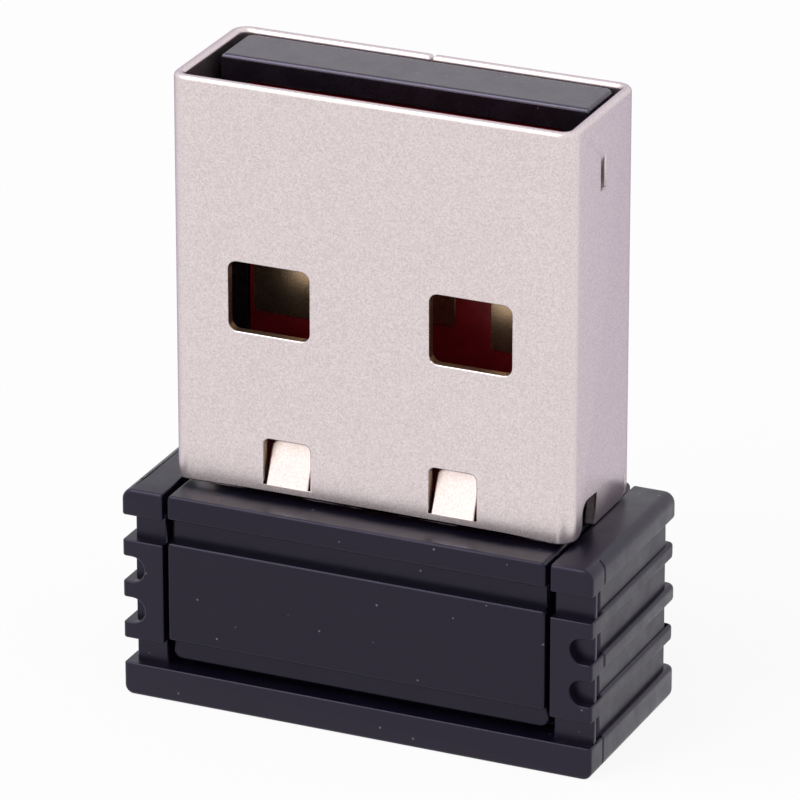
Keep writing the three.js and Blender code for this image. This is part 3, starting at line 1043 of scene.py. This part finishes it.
# Fired antenna ceramic: off-white, fine and slightly glossy.
antenna_ceramic = grained(
    "fired_white_ceramic", "CFC9BB", "E2DDD0", 0.04, (0.35, 0.5), 0.002, IOR=1.6,
)
# Cast lens epoxy over the light-emitting chip.
lens_epoxy = grained("cast_lens_epoxy", "D9DECB", "EEF2E0", 0.2, (0.12, 0.2), 0.001, IOR=1.5)
# Pressed and sintered ferrite: dark grey and granular.
ferrite = grained("sintered_ferrite", "3A3A3E", "545459", 0.04, (0.6, 0.8), 0.004, IOR=1.8)
# Barium titanate body of a ceramic capacitor.
capacitor_ceramic = grained("tan_capacitor_ceramic", "96704F", "B58E68", 0.03, (0.4, 0.55), 0.002)
# Matt tin on the ends of the small parts.
matt_tin = grained("matt_tin_plate", "BFC0C2", "DADBDC", 0.06, (0.3, 0.45), 0.002, Metallic=1.0)
print("made the finishes of the board and its parts")

# %% [markdown]
# ## Contacts and board
# The board's own shape is right as the CAD has it, so it keeps that shape and takes the mask.
# Each contact becomes a plated strip with rounded corners and a rolled edge.

# %% Board and contacts
PAD_CORNER, PAD_EDGE = 0.14, 0.02

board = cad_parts["circuit_board"]
board.data.materials.clear()
board.data.materials.append(solder_mask)

for name in ("contact_power", "contact_data_minus", "contact_data_plus", "contact_ground"):
    low, high = node_box(name)
    strip = box((low.x, high.x), (low.y, high.y), (low.z, high.z))
    pad = as_object(round_along(strip, 1, PAD_CORNER, segments=5), name + "_strip")
    soften(pad, lambda middle: PAD_EDGE, segments=2)
    place(pad, hard_gold, name)


# %% [markdown]
# ## The parts on the board
# A closed housing hides these, but they are separate parts in the model, so each gets the body
# and the metal ends or lid that its real one has. Small parts with two ends are a body with
# a tin cap on each end, and the cap faces are found by where they lie.

# %% A part on the board
END_CAP = 0.22
PART_SHARP_ANGLE = math.radians(30)


def small_part(name, material, radius, end_axis):
    """A part with rounded edges, and tin-plated ends along end_axis unless that is None."""
    low, high = node_box(name)
    shape = box((low.x, high.x), (low.y, high.y), (low.z, high.z))
    if end_axis is not None:
        direction = [0, 0, 0]
        direction[end_axis] = 1
        for level in (low[end_axis] + END_CAP, high[end_axis] - END_CAP):
            point = [0, 0, 0]
            point[end_axis] = level
            geometry = shape.verts[:] + shape.edges[:] + shape.faces[:]
            bmesh.ops.bisect_plane(shape, geom=geometry, plane_co=point, plane_no=direction)
    part = as_object(shape, name + "_body")
    rounding = part.modifiers.new("round", "BEVEL")
    rounding.width = radius
    rounding.segments = 3
    rounding.limit_method = "ANGLE"
    bake(part)
    place(part, material, name)
    if end_axis is not None:
        part.data.materials.append(matt_tin)
        inner_low, inner_high = low[end_axis] + END_CAP, high[end_axis] - END_CAP
        for face in part.data.polygons:
            level = face.center[end_axis] / MM
            if level < inner_low or level > inner_high:
                face.material_index = 1
    for face in part.data.polygons:
        face.use_smooth = True
    part.data.set_sharp_from_angle(angle=PART_SHARP_ANGLE)


# %% All the parts on the board
# Each: its node, finish, record slot, edge radius in millimetres, and the axis of its tin ends.
PARTS = [
    ("wifi_chip", mould_compound, "mould_compound", 0.06, None),
    ("crystal", nickel_can, "nickel_can", 0.15, None),
    ("chip_antenna", antenna_ceramic, "antenna_ceramic", 0.05, 2),
    ("status_led", lens_epoxy, "clear_epoxy", 0.08, 0),
    ("voltage_regulator", mould_compound, "mould_compound", 0.08, None),
    ("power_inductor", ferrite, "ferrite", 0.12, 0),
]
for number in range(1, 7):
    PARTS.append((f"capacitor_{number}", capacitor_ceramic, "capacitor_ceramic", 0.05, 2))
for number in range(1, 4):
    PARTS.append((f"resistor_{number}", mould_compound, "mould_compound", 0.04, 2))
for name, material, slot_name, radius, end_axis in PARTS:
    small_part(name, material, radius, end_axis)
print("finished", len(PARTS), "parts on the board")
